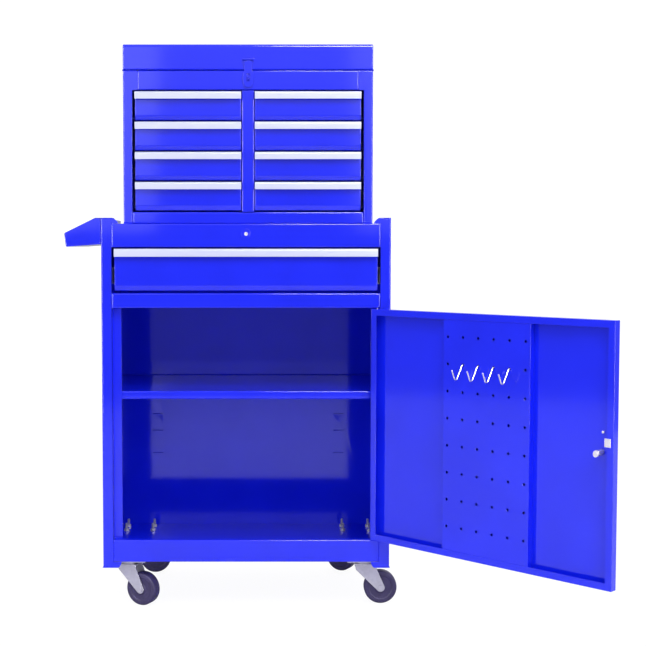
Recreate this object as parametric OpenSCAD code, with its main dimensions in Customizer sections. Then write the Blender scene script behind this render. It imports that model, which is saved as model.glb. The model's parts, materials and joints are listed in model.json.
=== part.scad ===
// Rolling tool cart in sheet steel. A tool chest with a lift lid and eight drawers stands on a
// cabinet that has one wide drawer, a door with a pegboard, a shelf, a side tray and four casters.
// Axes: +X right, +Y back, +Z up. Origin: on the floor, under the middle of the cabinet.

/* [Cabinet] */
// Width of the cabinet over its side panels
cabinet_w = 550; // [480:1:700]
// Depth of the cabinet from front frame to back panel
cabinet_d = 320; // [270:1:420]
// Thickness of the steel sheet
sheet = 1; // [0.8:0.1:1.4]
// Height of the underside of the cabinet above the floor
caster_h = 92; // [88:1:120]
// Height of the front rail under the door
bottom_rail_h = 43; // [30:1:60]
// Height of the door opening
door_opening_h = 446; // [380:1:560]
// Height of the rail between door and drawer
mid_rail_h = 28; // [22:1:45]
// Height of the wide drawer's opening
drawer_opening_h = 87; // [70:1:140]
// Height of the rail above the wide drawer
top_rail_h = 45; // [36:1:60]
// Width of the front stiles
stile_w = 20; // [16:1:28]
// Height of the ears that hold the chest sideways
ear_h = 11; // [6:1:16]
// Width of each ear seen from the front
ear_w = 30; // [24:1:40]
// How far the corner feet reach below the cabinet
foot_drop = 11; // [6:1:16]
// Width of a corner foot
foot_w = 31; // [24:1:40]
// Height of the shelf above the door opening's lower edge
shelf_up = 285; // [200:1:340]
// Height of the shelf's front lip
shelf_lip_h = 15; // [10:1:24]

/* [Door] */
// Thickness of the door pan
door_t = 15; // [12:0.5:18]
// Gap between the door and its opening
door_gap = 1.6; // [1.6:0.1:2.5]
// Width of the lip folded round the back of the door
door_lip_w = 12; // [8:1:16]
// Angle at which the door stands open
door_open = 135.4; // [0:0.1:140]
// Distance from the hinge pin to the door's hinge edge
hinge_inset = 3.8; // [3.8:0.1:5]
// Depth of the hinge pin behind the door's face
hinge_setback = 2.1; // [2.1:0.05:2.2]
// Diameter of the hinge pins
hinge_pin_d = 2; // [1.8:0.1:2]
// Width of the pegboard
peg_w = 181; // [165:1:220]
// Distance from the hinge pin to the pegboard
peg_from_hinge = 164; // [120:1:200]
// Columns of peg holes
peg_cols = 6; // [3:1:6]
// Rows of peg holes
peg_rows = 8; // [4:1:8]
// Distance between columns of peg holes
peg_pitch_x = 32.4; // [28:0.1:33]
// Distance between rows of peg holes
peg_pitch_z = 49.2; // [35:0.1:50]
// Diameter of a peg hole
peg_hole_d = 5; // [4:0.1:6]
// Wire diameter of the peg hooks
hook_wire_d = 3; // [2:0.1:3.6]

/* [Wide drawer] */
// Height of the wide drawer's pull
wide_pull_h = 15; // [12:0.5:18]
// Gap above and below the wide drawer's front
wide_gap = 2.5; // [2:0.1:4]
// Gap at each end of the wide drawer's front
wide_end_gap = 5.5; // [2:0.1:8]

/* [Chest] */
// Width of the chest
chest_w = 472; // [430:1:490]
// Depth of the chest
chest_d = 290; // [240:1:310]
// Sideways offset of the chest on the cabinet
chest_shift = 4; // [-4:0.5:4]
// Setback of the chest from the cabinet's front
chest_setback = 4; // [2:1:12]
// Height of the chest's bottom rail
chest_rail_h = 22; // [16:1:32]
// Height of the chest's drawer opening
chest_opening_h = 229; // [200:1:300]
// Height of the front panel between drawers and lid
chest_panel_h = 37; // [30:1:60]
// Height of the lid
lid_h = 49; // [40:1:70]
// Width of the chest's front stiles
chest_stile_w = 17.5; // [14:0.5:24]
// Width of the post between the two columns of drawers
post_w = 24; // [20:0.5:32]
// Gap above and below each drawer front
drawer_gap = 3; // [2:0.1:4]
// Gap at the outer end of each drawer front
drawer_outer_gap = 5.4; // [2:0.1:7]
// Gap at the inner end of each drawer front
drawer_inner_gap = 1; // [0.8:0.1:2]
// Height of a small drawer's pull
pull_h = 14; // [11:0.5:16]
// How far a pull stands out from the front
pull_out = 9; // [8:0.5:12]

/* [Casters] */
// Diameter of a wheel
wheel_d = 64; // [56:1:72]
// Width of a wheel
wheel_w = 22; // [18:1:26]
// Diameter of a wheel's axle
axle_d = 8; // [6:0.5:10]
// Distance of a caster's swivel axis from the side of the cabinet
caster_inset_x = 45; // [42:1:60]
// Distance of a caster's swivel axis from the front or back of the cabinet
caster_inset_y = 48; // [40:1:60]
// Distance from the swivel axis to the axle
caster_trail = 32; // [26:1:34]

/* [Side tray] */
// How far the side tray stands out from the cabinet
tray_out = 70; // [50:1:90]
// Length of the side tray
tray_l = 290; // [200:1:310]
// Height of the side tray's outer wall
tray_wall_h = 26; // [18:1:34]

/* [Hidden] */
// Running clearance of pins and plugs in their bores, on the radius
fit = 0.05;
// Clearance between sliding members
slide_gap = 0.5;
// Small step by which a cut passes through a wall
cut = 1;
$fn = 48;

// Heights of the cabinet's frame, from the bottom up
base_z = caster_h;
foot_z = base_z - foot_drop;
door_z0 = base_z + bottom_rail_h;
door_z1 = door_z0 + door_opening_h;
drawer_z0 = door_z1 + mid_rail_h;
drawer_z1 = drawer_z0 + drawer_opening_h;
deck_z = drawer_z1 + top_rail_h;
ear_z = deck_z + ear_h;

// Main planes of the cabinet
side_x = cabinet_w / 2;
wall_x = side_x - sheet;
open_x = side_x - stile_w;
front_y = -cabinet_d / 2;
back_y = cabinet_d / 2;
stop_y = front_y + door_t + 2;
stop_w = 16;
flange_d = 14;
rail_flange_y = stop_y - sheet;

// Door, drawn closed and then turned about its hinge pins
hinge_x = open_x - door_gap - hinge_inset;
hinge_y = front_y + hinge_setback;
door_x0 = -open_x + door_gap;
door_x1 = open_x - door_gap;
door_low = door_z0 + door_gap;
door_high = door_z1 - door_gap;
pin_tip = 1;
pin_root = 3;
pin_hole_d = hinge_pin_d + 2 * fit;
peg_y = front_y + door_t - 2 * sheet;
peg_x1 = hinge_x - peg_from_hinge;
peg_x0 = peg_x1 - peg_w;
peg_first_x = peg_x1 - (peg_w - (peg_cols - 1) * peg_pitch_x) / 2;
peg_mid_z = (door_low + door_high) / 2 + 6;
peg_first_z = peg_mid_z + (peg_rows - 1) * peg_pitch_z / 2;
hook_row = 1;
hook_cols = [1, 2, 3, 4];
hook_peg = 5;
hook_slant = 33;
hook_drop = 27;
hook_bend_r = 5;
hook_turn = 120;
hook_step = 15;
hook_tip = 17;
door_lock_x = door_x0 + 29;
door_lock_z = door_z0 + 226;
catch_w = 11;
catch_h = 14;
catch_t = 1.5;
catch_screw_d = 4.4;
catch_screw_x = door_x0 + 25.5;
catch_x = door_x0 + catch_w / 2 + 4.7;
catch_z = door_lock_z + 19;

// Locks
lock_d = 11;
lock_plug_d = 7;
drawer_lock_rim_d = 19;
door_lock_rim_d = 15;
lock_rim_t = 1.6;
lock_dish = 0.8;
lock_len = 18;
cam_w = 9;
cam_t = 2;
drawer_cam_l = 22;
door_cam_l = 6;
drawer_lock_z = deck_z - 19.5;

// Wide drawer
wide_x = open_x - wide_end_gap;
wide_z0 = drawer_z0 + 2 * wide_gap;
wide_z1 = drawer_z1 - wide_gap;
wide_d = cabinet_d - 30;
wide_side_h = drawer_opening_h - 25;
wide_box_x = open_x - 13;
slide_web_x = open_x - 0.5;
slide_h = 32;
slide_lip = 8;
slide_z = wide_z0 + 12 + slide_h / 2;
slide_y0 = stop_y + 2;
slide_y1 = back_y - 20;

// Fronts of all drawers: a band at the foot of each front slopes back
bevel_h = 9;
bevel_in = 3;
front_sheet = 1;

// Chest, drawn with its front at y = 0 and its foot at z = 0
drawer_rows = 4;
chest_x = chest_shift;
chest_y = front_y + chest_setback;
chest_wall_x = chest_w / 2 - sheet;
chest_open_x = chest_w / 2 - chest_stile_w;
panel_x = chest_open_x - 10;
chest_back = chest_d - sheet;
chest_flange_d = 10;
chest_open_z0 = chest_rail_h;
chest_open_z1 = chest_open_z0 + chest_opening_h;
seam_z = chest_open_z1 + chest_panel_h;
seam_gap = 0.8;
chest_top_z = seam_z + lid_h;
drawer_pitch = (chest_opening_h - drawer_gap) / drawer_rows;
drawer_face_h = drawer_pitch - drawer_gap;
drawer_x0 = post_w / 2 + drawer_inner_gap;
drawer_x1 = chest_open_x - drawer_outer_gap;
box_x0 = post_w / 2 + 4;
box_x1 = chest_open_x - 7;
box_d = chest_d - 22;
box_side_h = drawer_face_h - 14;
box_up = 6;
runner_t = 1;
runner_lap = 5;
runner_gap = 0.4;

// Lid hinge, behind the seam of the lid
lid_pin_d = 3;
knuckle_d = 5;
knuckle_n = 9;
knuckle_gap = 0.4;
lid_hinge_y = chest_d + knuckle_d / 2 + 0.3;
leaf_t = 1;
leaf_h = 13;
hinge_l = chest_w - 40;

// Hasp on the front of lid and chest
hasp_x = 0.5;
hasp_pin_d = 2.4;
hasp_knuckle_d = 4.4;
hasp_hinge_z = seam_z + 20;
hasp_leaf_t = 0.3;
hasp_leaf_h = 12;
hasp_hinge_y = -hasp_knuckle_d / 2 - 2 * hasp_leaf_t;
hasp_w = 22;
hasp_neck_w = 15;
hasp_tail_w = 20;
hasp_t = 1.4;
hasp_low_z = seam_z - 32;
hasp_slot_w = 6;
hasp_slot_h = 16;
hasp_gap = 0.3;
hasp_knuckles = 3;
staple_z = seam_z - 14;
staple_wire = 2.6;

// Casters: front left, front right, rear left, rear right
caster_x = side_x - caster_inset_x;
caster_y = cabinet_d / 2 - caster_inset_y;
caster_yaw = [-26, 0, 8, 150];
caster_at = [[-caster_x, -caster_y], [caster_x, -caster_y], [-caster_x, caster_y], [caster_x, caster_y]];
plate_w = 70;
plate_d = 72;
plate_t = 4.5;
bolt_x = 28;
bolt_y = 20;
bolt_d = 6;
bolt_up = 17;
nut_af = 10;
nut_h = 5;
race_r = 19;
race_h = 7;
king_d = 9;
crown_z = caster_h - plate_t - race_h - 0.4;
crown_t = 2.4;
fork_t = 2.2;
fork_gap = 0.6;
fork_y = wheel_w / 2 + fork_gap + fork_t / 2;
crown_r = 20;
tip_r = 8;
wheel_r = wheel_d / 2;

// Side tray
tray_z0 = drawer_z1 + 6;
tray_slope = 5;
tray_y0 = front_y + 3;
tray_lip_x = 11;

// Finishes
paint = "#3636f0";
aluminium = "#e6e6f2";
zinc = "#c8c6d2";
chrome = "#dcdce4";
rubber = "#46405f";

// ---- Helpers ----

// A solid between two opposite corners
module block(low, high) {
    translate(low) cube([high.x - low.x, high.y - low.y, high.z - low.z]);
}

// A round bar along X, Y or Z from a start point
module bar_x(at, d, l) translate(at) rotate([0, 90, 0]) cylinder(d = d, h = l);
module bar_y(at, d, l) translate(at) rotate([-90, 0, 0]) cylinder(d = d, h = l);
module bar_z(at, d, l) translate(at) cylinder(d = d, h = l);

// A profile drawn in (y, z), pushed along +X from x = 0
module along_x(l) rotate([90, 0, 90]) linear_extrude(l) children();

// A profile drawn in (x, z), pushed towards +Y from y = 0
module along_y(l) translate([0, l, 0]) rotate([90, 0, 0]) linear_extrude(l) children();

// The shape and its mirror image in X
module both_sides() {
    children();
    mirror([1, 0, 0]) children();
}

// A row of n hinge knuckles along X, keeping every second place from the given first one
module knuckle_row(l, n, first, d, bore, gap) {
    pitch = l / n;
    difference() {
        for (k = [first:2:n - 1])
            bar_x([-l / 2 + k * pitch + gap / 2, 0, 0], d, pitch - gap);
        if (bore > 0) bar_x([-l / 2 - cut, 0, 0], bore, l + 2 * cut);
    }
}

// Puts the chest's pieces on the deck
module on_deck() translate([chest_x, chest_y, deck_z]) children();

// Puts the door's pieces at the angle at which the door stands open
module at_door() {
    translate([hinge_x, hinge_y, 0]) rotate([0, 0, door_open]) translate([-hinge_x, -hinge_y, 0])
        children();
}

// Puts a caster's turning pieces at their corner
module at_caster(n) translate([caster_at[n].x, caster_at[n].y, 0]) rotate([0, 0, caster_yaw[n]]) children();

// ---- Cabinet ----

// One side panel, drawn on the right: wall, stile, foot, ear, return and door stop in one folded sheet
module side_panel() {
    block([wall_x, front_y, base_z], [side_x, back_y, ear_z]);
    for (y = [front_y, back_y - foot_w]) block([wall_x, y, foot_z], [side_x, y + foot_w, base_z]);
    // Stile, with a foot below and an ear above, both chamfered towards the middle
    translate([0, front_y, 0]) along_y(sheet) polygon([
        [side_x, foot_z], [side_x, ear_z], [side_x - ear_w + ear_h / 2, ear_z],
        [side_x - ear_w, ear_z - ear_h / 2], [side_x - ear_w - ear_h / 3, deck_z], [open_x, deck_z],
        [open_x, base_z], [side_x - foot_w - foot_drop / 2, base_z], [side_x - foot_w, foot_z]
    ]);
    // Returns beside the two openings
    block([open_x, front_y, door_z0], [open_x + sheet, stop_y + sheet, door_z1]);
    block([open_x, front_y, drawer_z0], [open_x + sheet, front_y + flange_d, drawer_z1]);
    // Door stop behind the door
    block([open_x - stop_w, stop_y, door_z0], [open_x + sheet, stop_y + sheet, door_z1]);
}
module left_side_panel() color(paint) mirror([1, 0, 0]) side_panel();
module right_side_panel() color(paint) side_panel();

// Tabs that stand in from the back panel, in three rows on each side
tab_rows = [199, 163, 114];
tab_outer_x = side_x - 68;
tab_l = 22;
tab_out = 5;
tab_t = 2.5;
module back_panel() color(paint) {
    block([-wall_x, back_y - sheet, base_z], [wall_x, back_y, deck_z - sheet]);
    both_sides() for (z = tab_rows)
        block([tab_outer_x - tab_l, back_y - sheet - tab_out, door_z0 + z - tab_t / 2],
              [tab_outer_x, back_y - sheet, door_z0 + z + tab_t / 2]);
}

// Floor with the rail below the door folded up at its front
module floor_pan() color(paint) difference() {
    union() {
        block([-wall_x, front_y + sheet, base_z], [wall_x, back_y - sheet, base_z + sheet]);
        block([-open_x, front_y, base_z], [open_x, front_y + sheet, door_z0]);
        block([-open_x, front_y, door_z0 - sheet], [open_x, rail_flange_y, door_z0]);
    }
    for (c = caster_at, x = [-bolt_x, bolt_x], y = [-bolt_y, bolt_y])
        bar_z([c.x + x, c.y + y, base_z - cut], bolt_d + 0.4, sheet + 2 * cut);
    bar_z([hinge_x, hinge_y, door_z0 - sheet - cut], pin_hole_d, sheet + 2 * cut);
}

// Deck under the chest, with the rail above the wide drawer folded down at its front
module top_deck() color(paint) difference() {
    union() {
        block([-wall_x, front_y + sheet, deck_z - sheet], [wall_x, back_y, deck_z]);
        block([-open_x, front_y, drawer_z1], [open_x, front_y + sheet, deck_z]);
        block([-open_x, front_y, drawer_z1], [open_x, front_y + flange_d, drawer_z1 + sheet]);
    }
    bar_y([0, front_y - cut, drawer_lock_z], lock_d, sheet + 2 * cut);
}

// Rail between the door and the wide drawer
module mid_rail() color(paint) difference() {
    union() {
        block([-open_x, front_y, door_z1], [open_x, front_y + sheet, drawer_z0]);
        block([-open_x, front_y, door_z1], [open_x, rail_flange_y, door_z1 + sheet]);
        block([-open_x, front_y, drawer_z0 - sheet], [open_x, front_y + flange_d, drawer_z0]);
    }
    bar_z([hinge_x, hinge_y, door_z1 - cut], pin_hole_d, sheet + 2 * cut);
}

// Shelf with a folded lip in front and flanges at its ends
shelf_z = door_z0 + shelf_up;
shelf_y0 = stop_y + sheet + 2;
module shelf() color(paint) {
    block([-wall_x, shelf_y0, shelf_z - sheet], [wall_x, back_y - sheet, shelf_z]);
    block([-wall_x, shelf_y0, shelf_z - shelf_lip_h], [wall_x, shelf_y0 + sheet, shelf_z]);
    both_sides() block([wall_x - sheet, shelf_y0, shelf_z - shelf_lip_h],
                       [wall_x, back_y - sheet, shelf_z]);
}

// Fixed channels of the wide drawer's slides, on brackets from the side walls
module drawer_slides() color(zinc) both_sides() {
    block([slide_web_x, slide_y0, slide_z - slide_h / 2], [slide_web_x + sheet, slide_y1, slide_z + slide_h / 2]);
    for (z = [slide_z - slide_h / 2, slide_z + slide_h / 2 - sheet])
        block([slide_web_x - slide_lip, slide_y0, z], [slide_web_x + sheet, slide_y1, z + sheet]);
    for (y = [slide_y0 + 10, slide_y1 - 30])
        block([slide_web_x + sheet, y, slide_z - 8], [wall_x, y + 20, slide_z + 8]);
}

// Outline of the side tray's end plates, from the cabinet outwards
tray_end = [
    [0, tray_z0], [-tray_out + 3, tray_z0 - tray_slope], [-tray_out, tray_z0 - tray_slope + tray_wall_h],
    [-tray_lip_x, ear_z], [0, ear_z]
];
module side_tray() color(paint) translate([-side_x, tray_y0, 0]) {
    for (y = [0, tray_l - sheet]) translate([0, y, 0]) along_y(sheet) polygon(tray_end);
    along_y(tray_l) polygon([
        [0, tray_z0], tray_end[1], tray_end[2], tray_end[2] + [sheet, 0],
        tray_end[1] + [sheet, sheet], [0, tray_z0 + sheet]
    ]);
    block([-sheet, 0, tray_z0], [0, tray_l, ear_z]);
}

// ---- Wide drawer ----

// A folded drawer front in (y, z) with its foot at z = 0: the band at its foot slopes back
module front_profile(h) {
    polygon([
        [0, h], [0, bevel_h], [bevel_in, 0], [flange_d - 4, 0], [flange_d - 4, front_sheet],
        [bevel_in + front_sheet, front_sheet], [front_sheet, bevel_h], [front_sheet, h]
    ]);
}

// An open box of sheet with a floor, two sides and a back
module drawer_box(x0, x1, y0, y1, z0, h) {
    block([x0, y0, z0], [x1, y1, z0 + sheet]);
    for (x = [x0, x1 - sheet]) block([x, y0, z0], [x + sheet, y1, z0 + h]);
    block([x0, y1 - sheet, z0], [x1, y1, z0 + h]);
}

// Aluminium pull in (y, z), hooked over the top of a front, with its top at z = 0
module pull_profile(h) {
    lip = 1.6;
    nose_r = 4;
    difference() {
        union() {
            translate([-pull_out, -h]) square([lip, h - nose_r]);
            translate([-pull_out + nose_r, -lip]) square([pull_out - nose_r, lip]);
            intersection() {
                translate([-pull_out + nose_r, -nose_r]) circle(r = nose_r);
                translate([-pull_out, -nose_r]) square(nose_r);
            }
            translate([-lip, -h / 2]) square([lip, h / 2]);
        }
        intersection() {
            translate([-pull_out + nose_r, -nose_r]) circle(r = nose_r - lip);
            translate([-pull_out, -nose_r]) square([nose_r, nose_r]);
        }
    }
}

wide_face_h = wide_z1 - wide_z0;
module wide_drawer() color(paint) {
    translate([-wide_x, front_y, wide_z0]) along_x(2 * wide_x) front_profile(wide_face_h);
    drawer_box(-wide_box_x, wide_box_x, front_y + front_sheet, front_y + wide_d, wide_z0 + bevel_h - 1, wide_side_h);
}
module wide_drawer_pull() color(aluminium)
    translate([-wide_x, front_y, wide_z1]) along_x(2 * wide_x) pull_profile(wide_pull_h);

// Moving members of the wide drawer's slides, fixed to the drawer's sides
module wide_drawer_runners() color(zinc) both_sides() {
    reach = slide_h / 2 - sheet - slide_gap;
    block([wide_box_x, front_y + flange_d, slide_z - reach], [wide_box_x + sheet, front_y + wide_d, slide_z + reach]);
    for (z = [slide_z - reach, slide_z + reach - sheet])
        block([wide_box_x, front_y + flange_d, z],
              [slide_web_x - slide_gap, front_y + wide_d, z + sheet]);
}

// ---- Locks ----

// Housing of a lock that faces -Y, with its rim at y = 0 and its bore along Y
module lock_housing(l, rim_d) difference() {
    union() {
        bar_y([0, -lock_rim_t, 0], rim_d, lock_rim_t);
        bar_y([0, 0, 0], lock_d - 0.2, l);
    }
    bar_y([0, -lock_rim_t - cut, 0], rim_d - 4, lock_dish + cut);
    bar_y([0, -lock_rim_t - cut, 0], lock_plug_d + 2 * fit, l + lock_rim_t + 2 * cut);
}

// Plug with a key slot in front and a cam at its back, pointing along the given angle
module lock_plug(l, cam_angle, cam_l) {
    difference() {
        bar_y([0, -lock_rim_t + 0.3, 0], lock_plug_d, l + lock_rim_t + 0.7);
        block([-0.6, -lock_rim_t - cut, -2.2], [0.6, 1, 2.2]);
    }
    rotate([0, cam_angle, 0]) translate([0, l + 1, 0]) {
        block([0, 0, -cam_w / 2], [cam_l - cam_w / 2, cam_t, cam_w / 2]);
        bar_y([0, 0, 0], cam_w, cam_t);
        bar_y([cam_l - cam_w / 2, 0, 0], cam_w, cam_t);
    }
}
module drawer_lock_housing() color(paint)
    translate([0, front_y, drawer_lock_z]) lock_housing(lock_len, drawer_lock_rim_d);
module drawer_lock_plug() color(chrome)
    translate([0, front_y, drawer_lock_z]) lock_plug(lock_len, 0, drawer_cam_l);
module door_lock_housing() color(chrome) at_door()
    translate([door_lock_x, front_y, door_lock_z]) lock_housing(lock_len, door_lock_rim_d);
module door_lock_plug() color(chrome) at_door()
    translate([door_lock_x, front_y, door_lock_z]) lock_plug(lock_len, 90, door_cam_l);

// ---- Door ----

module door_panel() color(paint) at_door() difference() {
    union() {
        block([door_x0, front_y, door_low], [door_x1, front_y + sheet, door_high]);
        for (x = [door_x0, door_x1 - sheet])
            block([x, front_y, door_low], [x + sheet, front_y + door_t, door_high]);
        for (z = [door_low, door_high - sheet])
            block([door_x0, front_y, z], [door_x1, front_y + door_t, z + sheet]);
        // Lip folded round the back
        difference() {
            block([door_x0, front_y + door_t - sheet, door_low], [door_x1, front_y + door_t, door_high]);
            block([door_x0 + door_lip_w, front_y, door_low + door_lip_w],
                  [door_x1 - door_lip_w, front_y + door_t + cut, door_high - door_lip_w]);
        }
    }
    bar_y([door_lock_x, front_y - cut, door_lock_z], lock_d, door_t + 2 * cut);
    for (z = [door_low - cut, door_high - sheet - cut])
        bar_z([hinge_x, hinge_y, z], hinge_pin_d, sheet + 2 * cut);
}

// Pegboard: a raised panel with returns down to the door's skin
module pegboard() color(paint) at_door() difference() {
    union() {
        block([peg_x0, peg_y, door_low + sheet], [peg_x1, peg_y + sheet, door_high - sheet]);
        for (x = [peg_x0, peg_x1 - sheet])
            block([x, front_y + sheet, door_low + sheet], [x + sheet, peg_y + sheet, door_high - sheet]);
    }
    for (c = [0:peg_cols - 1], r = [0:peg_rows - 1])
        bar_y([peg_first_x - c * peg_pitch_x, peg_y - cut, peg_first_z - r * peg_pitch_z],
              peg_hole_d, sheet + 2 * cut);
}

// One hook in (y, z), with its peg's back at the origin: a peg, a slanting drop and a turned-up end
module hook_profile() {
    d = hook_wire_d;
    r_out = hook_bend_r + d / 2;
    r_in = hook_bend_r - d / 2;
    end = hook_tip * [sin(hook_turn), -cos(hook_turn)];
    translate([0, -d / 2]) square([hook_peg + sheet + d, d]);
    translate([hook_peg + sheet + d / 2, 0]) rotate(hook_slant) translate([hook_bend_r, -hook_drop]) polygon([
        [-r_out, hook_drop],
        for (a = [0:hook_step:hook_turn]) r_out * [-cos(a), -sin(a)],
        r_out * [-cos(hook_turn), -sin(hook_turn)] + end,
        r_in * [-cos(hook_turn), -sin(hook_turn)] + end,
        for (a = [hook_turn:-hook_step:0]) r_in * [-cos(a), -sin(a)],
        [-r_in, hook_drop]
    ]);
}
module peg_hooks() color(chrome) at_door() for (c = hook_cols)
    translate([peg_first_x - c * peg_pitch_x - hook_wire_d / 2, peg_y - hook_peg,
               peg_first_z - hook_row * peg_pitch_z]) along_x(hook_wire_d) hook_profile();

// Hinge pins above and below the door, fixed in its top and bottom edges
module door_hinge_pins() color(zinc) at_door() {
    pin_l = pin_tip + 2 * sheet + door_gap + pin_root;
    for (z = [door_z0 - sheet - pin_tip, door_z1 + sheet + pin_tip - pin_l])
        bar_z([hinge_x, hinge_y, z], hinge_pin_d, pin_l);
}

// Catch on the door's free edge: a plate and its screw
module door_catch() color(chrome) at_door() {
    block([catch_x - catch_w / 2, front_y + door_t, catch_z - catch_h / 2],
          [catch_x + catch_w / 2, front_y + door_t + catch_t, catch_z + catch_h / 2]);
    bar_y([catch_screw_x, front_y + sheet, catch_z + catch_h / 2 + 8], catch_screw_d, 2 * catch_t);
}

// ---- Chest ----

// One side of the chest, drawn on the right: wall and front stile, wider beside the panel under the lid
module chest_side() {
    block([chest_wall_x, 0, 0], [chest_w / 2, chest_d, seam_z]);
    along_y(sheet) polygon([
        [chest_w / 2, 0], [chest_w / 2, seam_z], [panel_x, seam_z], [panel_x, chest_open_z1],
        [chest_open_x, chest_open_z1], [chest_open_x, 0]
    ]);
    block([chest_open_x, 0, chest_open_z0], [chest_open_x + sheet, 12, chest_open_z1]);
}
module chest_left_side() color(paint) on_deck() mirror([1, 0, 0]) chest_side();
module chest_right_side() color(paint) on_deck() chest_side();
module chest_back() color(paint) on_deck()
    block([-chest_wall_x, chest_back, 0], [chest_wall_x, chest_d, seam_z]);
module chest_floor() color(paint) on_deck() {
    block([-chest_wall_x, sheet, 0], [chest_wall_x, chest_back, sheet]);
    block([-chest_open_x, 0, 0], [chest_open_x, sheet, chest_rail_h]);
    block([-chest_open_x, 0, chest_rail_h - sheet], [chest_open_x, chest_flange_d, chest_rail_h]);
}

// Till under the lid: its floor is one sheet with the panel below the lid
module chest_till() color(paint) on_deck() {
    block([-chest_wall_x, sheet, chest_open_z1], [chest_wall_x, chest_back, chest_open_z1 + sheet]);
    block([-panel_x, 0, chest_open_z1], [panel_x, sheet, seam_z]);
    block([-panel_x, 0, seam_z - sheet], [panel_x, 9, seam_z]);
}

// Front post and the partition behind it
module chest_divider() color(paint) on_deck() {
    block([-post_w / 2, 0, chest_open_z0], [post_w / 2, sheet, chest_open_z1]);
    for (x = [-post_w / 2, post_w / 2 - sheet]) block([x, 0, chest_open_z0], [x + sheet, 12, chest_open_z1]);
    block([-sheet / 2, chest_flange_d, sheet], [sheet / 2, chest_back, chest_open_z1]);
    block([-sheet / 2, sheet, chest_rail_h], [sheet / 2, chest_flange_d, chest_open_z1]);
}

// Height of the foot of a small drawer's front, from the top one down
function drawer_z(row) = chest_open_z1 - row * drawer_pitch;

// Angle runners under the edges of the small drawers
module chest_runners() color(paint) on_deck() both_sides() for (row = [1:drawer_rows]) {
    top = drawer_z(row) + box_up - runner_gap;
    y1 = chest_back - 12;
    block([sheet / 2, 16, top - runner_t], [box_x0 + runner_lap, y1, top]);
    block([box_x1 - runner_lap, 16, top - runner_t], [chest_wall_x, y1, top]);
}

// One small drawer in the right-hand column
module small_drawer(row) translate([0, 0, drawer_z(row)]) {
    translate([drawer_x0, 0, 0]) along_x(drawer_x1 - drawer_x0) front_profile(drawer_face_h);
    drawer_box(box_x0, box_x1, front_sheet, box_d, box_up, box_side_h);
}
module small_pull(row) translate([drawer_x0, 0, drawer_z(row) + drawer_face_h])
    along_x(drawer_x1 - drawer_x0) pull_profile(pull_h);
module drawer_left(row) color(paint) on_deck() mirror([1, 0, 0]) small_drawer(row);
module drawer_right(row) color(paint) on_deck() small_drawer(row);
module pull_left(row) color(aluminium) on_deck() mirror([1, 0, 0]) small_pull(row);
module pull_right(row) color(aluminium) on_deck() small_pull(row);

// ---- Lid ----

lid_bend_r = 6;
module lid() color(paint) on_deck() {
    low = seam_z + seam_gap;
    top = chest_top_z;
    r = lid_bend_r;
    // Roof and front, with the round bend between them
    translate([-chest_w / 2, 0, 0]) along_x(chest_w) difference() {
        union() {
            translate([0, low]) square([sheet, top - r - low]);
            translate([r, top - sheet]) square([chest_d - r, sheet]);
            intersection() {
                translate([r, top - r]) circle(r = r);
                translate([0, top - r]) square(r);
            }
        }
        translate([r, top - r]) circle(r = r - sheet);
    }
    block([-chest_w / 2, chest_back, low], [chest_w / 2, chest_d, top]);
    for (x = [-chest_w / 2, chest_w / 2 - sheet])
        translate([x, 0, 0]) along_x(sheet) union() {
            translate([0, low]) square([chest_d, top - r - low]);
            translate([r, top - r]) square([chest_d - r, r]);
            intersection() {
                translate([r, top - r]) circle(r = r);
                translate([0, top - r]) square(r);
            }
        }
}

module lid_hinge_fixed_leaf() color(paint) on_deck() {
    translate([0, lid_hinge_y, seam_z]) knuckle_row(hinge_l, knuckle_n, 0, knuckle_d, 0, knuckle_gap);
    translate([0, lid_hinge_y, seam_z]) bar_x([-hinge_l / 2 + 1, 0, 0], lid_pin_d, hinge_l - 2);
    for (k = [0:2:knuckle_n - 1]) {
        x = -hinge_l / 2 + k * hinge_l / knuckle_n + knuckle_gap / 2;
        block([x, chest_d, seam_z - leaf_h], [x + hinge_l / knuckle_n - knuckle_gap, chest_d + leaf_t, seam_z]);
    }
    block([-hinge_l / 2, chest_d, seam_z - leaf_h], [hinge_l / 2, chest_d + leaf_t, seam_z - knuckle_d / 2 - 0.5]);
}
module lid_hinge_moving_leaf() color(paint) on_deck() {
    translate([0, lid_hinge_y, seam_z])
        knuckle_row(hinge_l, knuckle_n, 1, knuckle_d, lid_pin_d + 2 * fit, knuckle_gap);
    difference() {
        union() {
            for (k = [1:2:knuckle_n - 1]) {
                x = -hinge_l / 2 + k * hinge_l / knuckle_n + knuckle_gap / 2;
                block([x, chest_d, seam_z + seam_gap],
                      [x + hinge_l / knuckle_n - knuckle_gap, chest_d + leaf_t, seam_z + leaf_h]);
            }
            block([-hinge_l / 2, chest_d, seam_z + knuckle_d / 2 + 0.5],
                  [hinge_l / 2, chest_d + leaf_t, seam_z + leaf_h]);
        }
        translate([0, lid_hinge_y, seam_z]) bar_x([-hinge_l / 2 - cut, 0, 0], lid_pin_d + 2 * fit, hinge_l + 2 * cut);
    }
}

// ---- Hasp ----

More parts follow.
